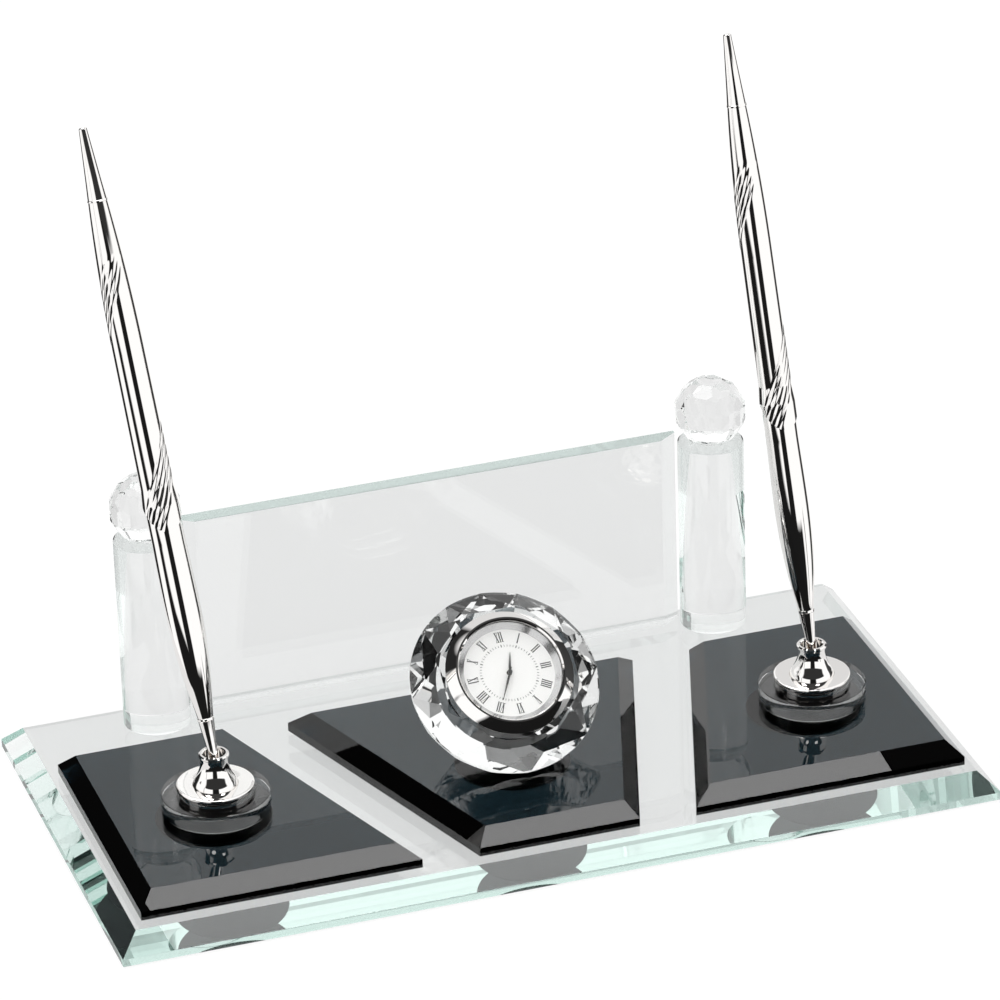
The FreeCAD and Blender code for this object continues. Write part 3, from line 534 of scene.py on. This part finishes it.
printed = bmesh.new()
for hour, word in enumerate(NUMERALS):
    turn = clock_place @ Matrix.Rotation(math.radians(DIAL_TURN - hour * 30), 4, "Z")
    left = -(sum(LETTERS[letter][0] for letter in word) + LETTER_GAP * (len(word) - 1)) / 2
    for letter in word:
        width, strokes = LETTERS[letter]
        for x0, y0, x1, y1, thickness in strokes:
            stroke(printed, turn, left + x0, NUMERAL_FOOT + y0, left + x1, NUMERAL_FOOT + y1, thickness)
        for level in (NUMERAL_FOOT, NUMERAL_FOOT + LETTER_HEIGHT - SERIF):
            stroke(printed, turn, left + width / 2, level, left + width / 2, level + SERIF, width)
        left += width + LETTER_GAP
for minute in range(60):
    turn = clock_place @ Matrix.Rotation(math.radians(DIAL_TURN - minute * 6), 4, "Z")
    width, length = MINUTE_MARK if minute % 5 else FIVE_MINUTE_MARK
    stroke(printed, turn, 0, TRACK - length / 2, 0, TRACK + length / 2, width)
for face in printed.faces:
    if face.normal.dot(clock_axis) < 0:
        face.normal_flip()
settle(printed, "dial_print", Matrix.Identity(4), dial_ink, "clock_insert", [])
print("dial printed:", len(NUMERALS), "numerals and 60 marks")

# %% [markdown]
# ## Hands and lens
# The hands are slim leaves with a round hub, each as long and as high as its solid. The
# lens keeps its shape. It casts no shadow, so that the lamps' light reaches the dial.

# %% Slim hands and the lens
HAND_TAIL, HAND_HALF, HUB = 1.4, 0.32, 0.62
TAIL_HALF, TIP_HALF, WIDEST_AT = 0.14, 0.05, 0.3
HUB_STEPS = 36


def slim_hand(name, node, body):
    """Leaf-shaped blade with a round hub, as long, high and turned as the solid hand."""
    spots = [clock_place.inverted() @ vert.co for vert in nodes[node].data.vertices]
    low, high = min(spot.z for spot in spots), max(spot.z for spot in spots)
    tip = max(spots, key=lambda spot: spot.xy.length)
    reach = tip.xy.length / MM
    blade = [(-TAIL_HALF, -HAND_TAIL), (TAIL_HALF, -HAND_TAIL), (HAND_HALF, reach * WIDEST_AT),
             (TIP_HALF, reach), (-TIP_HALF, reach), (-HAND_HALF, reach * WIDEST_AT)]
    angles = [math.radians(step * 360 / HUB_STEPS) for step in range(HUB_STEPS)]
    hub = [(HUB * math.cos(angle), HUB * math.sin(angle)) for angle in angles]
    mesh = bmesh.new()
    for outline in (blade, hub):
        foot = mesh.faces.new([mesh.verts.new((x * MM, y * MM, low)) for x, y in outline])
        raised = bmesh.ops.extrude_face_region(mesh, geom=[foot])
        bmesh.ops.translate(mesh, vec=(0, 0, high - low),
                            verts=[part for part in raised["geom"] if isinstance(part, bmesh.types.BMVert)])
    bmesh.ops.recalc_face_normals(mesh, faces=mesh.faces)
    aim = Matrix.Rotation(math.atan2(tip.y, tip.x) - math.pi / 2, 4, "Z")
    settle(mesh, name, clock_place @ aim, hand_paint, body, [node])


slim_hand("slim_hour_hand", "hour_hand", "hours")
slim_hand("slim_minute_hand", "minute_hand", "minutes")
lens = settle(solid_copy("clock_lens"), "clear_lens", Matrix.Identity(4), watch_glass, "clock_insert",
              ["clock_lens"])
lens.visible_shadow = False
print("hands and lens made")

# %% [markdown]
# ## Finishes on the solids that stay
# The base slab, the smoked plates, the dial and the hidden inner parts have the right
# shape already, so they keep their solids and only get a finish.

# %% Assign the finishes
finishes = {
    float_glass: ["base_slab"],
    smoked_glass: ["left_plate", "centre_plate", "right_plate"],
    brushed_nickel: ["clock_rehaut", "clock_battery"],
    plain_brass: ["left_refill", "right_refill", "clock_arbor"],
    dial_lacquer: ["clock_dial"],
    moulded_black: ["clock_case", "clock_movement", "setting_knob", "left_twist_core", "right_twist_core"],
    gasket_rubber: ["clock_gasket"],
}
for material, names in finishes.items():
    for name in names:
        nodes[name].data.materials.clear()
        nodes[name].data.materials.append(material)
print(sum(len(names) for names in finishes.values()), "solids finished")

# %% [markdown]
# ## Floor
# The set stands on a white table. The table is mostly a plain glow to the camera and to
# glass and metal, with a share of real cloth that keeps the set's shadow. Mirrors see it
# only close to the set, and see a black card on it in front, which gives the bezel and
# the flanges their dark lower edges.

# %% White table
TABLE_RADIUS, TABLE_DROP = 0.75, 0.0002
LIT_RADIUS, CARD_EDGE = 0.2, -0.066
GLOW_SHARE, THROUGH_GLASS = 0.85, 0.8
table = bmesh.new()
bmesh.ops.create_circle(table, cap_ends=True, segments=96, radius=TABLE_RADIUS)
table_data = bpy.data.meshes.new("white_table")
table.to_mesh(table_data)
table.free()
floor = bpy.data.objects.new("white_table", table_data)
floor.location = (0, 0, -TABLE_DROP)
bpy.context.scene.collection.objects.link(floor)
material, tree, output = new_material("white_table")
path = add(tree, "ShaderNodeLightPath")
place = add(tree, "ShaderNodeTexCoord")
spot = add(tree, "ShaderNodeSeparateXYZ", {0: place.outputs["Object"]})
distance = add(tree, "ShaderNodeVectorMath", {0: place.outputs["Object"]}, operation="LENGTH")
mirrored = add(tree, "ShaderNodeMath", {0: path.outputs["Is Glossy Ray"],
                                        1: path.outputs["Is Transmission Ray"]},
               operation="SUBTRACT", use_clamp=True)
seen = add(tree, "ShaderNodeMath", {0: path.outputs["Is Camera Ray"], 1: path.outputs["Is Glossy Ray"]},
           operation="MAXIMUM")
share = add(tree, "ShaderNodeMath", {0: seen.outputs[0], 1: GLOW_SHARE}, operation="MULTIPLY")
level = add(tree, "ShaderNodeMapRange", {0: path.outputs["Is Camera Ray"], 3: THROUGH_GLASS, 4: 1.0})
cloth = add(tree, "ShaderNodeBsdfDiffuse", {"Color": linear("F2F2F2")})
glow = add(tree, "ShaderNodeEmission", {"Color": (1, 1, 1, 1), "Strength": level.outputs[0]})
mixed = add(tree, "ShaderNodeMixShader", {"Fac": share.outputs[0], 1: cloth.outputs[0], 2: glow.outputs[0]})
front = add(tree, "ShaderNodeMath", {0: spot.outputs[1], 1: CARD_EDGE}, operation="LESS_THAN")
card = add(tree, "ShaderNodeMath", {0: front.outputs[0], 1: mirrored.outputs[0]}, operation="MULTIPLY")
black = add(tree, "ShaderNodeEmission", {"Color": (0.01, 0.01, 0.01, 1), "Strength": 1.0})
mixed = add(tree, "ShaderNodeMixShader", {"Fac": card.outputs[0], 1: mixed.outputs[0], 2: black.outputs[0]})
far = add(tree, "ShaderNodeMath", {0: distance.outputs["Value"], 1: LIT_RADIUS}, operation="GREATER_THAN")
gone = add(tree, "ShaderNodeMath", {0: far.outputs[0], 1: mirrored.outputs[0]}, operation="MULTIPLY")
clear = add(tree, "ShaderNodeBsdfTransparent")
final = add(tree, "ShaderNodeMixShader", {"Fac": gone.outputs[0], 1: mixed.outputs[0], 2: clear.outputs[0]})
finish_with(tree, output, final.outputs[0])
floor.data.materials.append(material)
print("table", 2 * TABLE_RADIUS, "m across")

# %% [markdown]
# ## Studio
# Chrome only looks like chrome when it has something dark to reflect. So mirrors see four
# rings of bright and dark panels round the room, from the floor up to the ceiling, and
# each stripe on the pens is one of those panels. Glass looks through to a bright
# backdrop, painted pieces get an even fill, and the camera sees plain white.

# %% Directions and panels
world = bpy.data.worlds.new("studio")
bpy.context.scene.world = world
world.use_nodes = True
tree = world.node_tree
tree.nodes.clear()
path = add(tree, "ShaderNodeLightPath")
direction = add(tree, "ShaderNodeTexCoord")
parts = add(tree, "ShaderNodeSeparateXYZ", {0: direction.outputs["Generated"]})
back = add(tree, "ShaderNodeMath", {0: parts.outputs[1], 1: -1.0}, operation="MULTIPLY")
azimuth = add(tree, "ShaderNodeMath", {0: parts.outputs[0], 1: back.outputs[0]}, operation="ARCTAN2")
turn = add(tree, "ShaderNodeMapRange", {0: azimuth.outputs[0], 1: -math.pi, 2: math.pi, 3: 0.0, 4: 1.0})


def ring_of_panels(panels):
    """Brightness round the room, from (degrees, brightness) stops; 0 degrees is the front."""
    node = add(tree, "ShaderNodeValToRGB", {0: turn.outputs[0]})
    while len(node.color_ramp.elements) < len(panels):
        node.color_ramp.elements.new(0.5)
    for element, (angle, level) in zip(node.color_ramp.elements, panels):
        element.position = (angle + 180) / 360
        element.color = (level, level, level, 1)
    return node.outputs[0]


FLOOR_RING = ((-180, 0.9), (-168, 0.9), (-164, 0.02), (-128, 0.02), (-122, 1), (-88, 1), (-84, 0.01),
              (30, 0.01), (34, 1), (46, 1), (47, 0.05), (50, 0.05), (51, 1), (86, 1), (90, 0.05), (112, 0.03),
              (116, 1), (180, 0.9))
LOW_RING = ((-180, 0.8), (-168, 0.8), (-164, 0.02), (-128, 0.02), (-122, 1), (-77, 1), (-75, 0.3), (-74, 0.3),
            (-72, 1), (-31, 1), (-28, 0.01), (0, 0.01), (3, 1), (85, 1), (88, 0.06), (134, 0.03), (137, 0.8),
            (180, 0.8))
MID_RING = ((-180, 0.7), (-172, 0.7), (-166, 0.02), (-106, 0.02), (-102, 1), (-74, 1), (-68, 0.03),
            (46, 0.03), (52, 1), (138, 1), (146, 0.7), (180, 0.7))
HIGH_RING = ((-180, 1), (-116, 1), (-106, 0.05), (72, 0.05), (82, 1), (180, 1))
RING_EDGES = ((-0.13, -0.09, LOW_RING), (0.24, 0.28, MID_RING), (0.62, 0.66, HIGH_RING))
room = ring_of_panels(FLOOR_RING)
for low, high, panels in RING_EDGES:
    rise = add(tree, "ShaderNodeMapRange", {0: parts.outputs[2], 1: low, 2: high, 3: 0.0, 4: 1.0})
    room = add(tree, "ShaderNodeMix", {"Factor": rise.outputs[0], 6: room, 7: ring_of_panels(panels)},
               data_type="RGBA").outputs[2]
print(1 + len(RING_EDGES), "rings of panels")

# %% What each kind of ray sees
MIRROR_LEVEL, BACKDROP_LEVEL, FILL_LEVEL = 1.12, 1.12, 1.15
behind = add(tree, "ShaderNodeMapRange", {0: parts.outputs[1], 1: -0.1, 2: 0.1, 3: 0.0, 4: 1.0})
sweep = add(tree, "ShaderNodeMapRange", {0: parts.outputs[2], 1: 0.0, 2: 0.15, 3: THROUGH_GLASS,
                                         4: BACKDROP_LEVEL})
above = add(tree, "ShaderNodeMapRange", {0: parts.outputs[2], 1: 0.5, 2: 0.6, 3: 0.0, 4: 1.0})
bright = add(tree, "ShaderNodeMath", {0: behind.outputs[0], 1: above.outputs[0]}, operation="MAXIMUM")
lens_view = add(tree, "ShaderNodeMix", {"Factor": bright.outputs[0], 6: room, 7: sweep.outputs[0]},
                data_type="RGBA")
white = add(tree, "ShaderNodeBackground", {"Color": (1, 1, 1, 1), "Strength": 1.0})
mirrored = add(tree, "ShaderNodeBackground", {"Color": room, "Strength": MIRROR_LEVEL})
through = add(tree, "ShaderNodeBackground", {"Color": lens_view.outputs[2], "Strength": 1.0})
fill = add(tree, "ShaderNodeBackground", {"Color": (1, 1, 1, 1), "Strength": FILL_LEVEL})
scattered = add(tree, "ShaderNodeMath", {0: path.outputs["Diffuse Depth"], 1: 0.5}, operation="GREATER_THAN")
final = add(tree, "ShaderNodeMixShader", {0: path.outputs["Is Transmission Ray"], 1: mirrored.outputs[0],
                                          2: through.outputs[0]})
final = add(tree, "ShaderNodeMixShader", {0: scattered.outputs[0], 1: final.outputs[0], 2: fill.outputs[0]})
final = add(tree, "ShaderNodeMixShader", {0: path.outputs["Is Camera Ray"], 1: final.outputs[0],
                                          2: white.outputs[0]})
add(tree, "ShaderNodeOutputWorld", {"Surface": final.outputs[0]})
print("room lit")

# %% [markdown]
# ## Lamps
# Three soft lamps light the dial and give the smoked plates' front bevels their grey
# sheen. The right one is small, so its reflection ends on the right plate's bevel.

# %% Softboxes


def softbox(name, spot, aim, width, height, watts):
    """Rectangular lamp that faces a point and is not seen through glass."""
    data = bpy.data.lights.new(name, "AREA")
    data.shape = "RECTANGLE"
    data.size = width
    data.size_y = height
    data.energy = watts
    lamp = bpy.data.objects.new(name, data)
    lamp.location = spot
    lamp.rotation_euler = (Vector(aim) - Vector(spot)).to_track_quat("-Z", "Y").to_euler()
    lamp.visible_transmission = False
    bpy.context.scene.collection.objects.link(lamp)


softbox("right_softbox", (0.342, -0.725, 1.12), (0, 0, 0.03), 0.335, 0.24, 1.2)
softbox("left_softbox", (-0.7, -0.23, 1.19), (0, 0, 0.03), 0.4, 0.35, 1.8)
softbox("top_softbox", (-0.2, 0.5, 1.5), (0, 0, 0.05), 0.9, 0.9, 6)
print("studio lit")
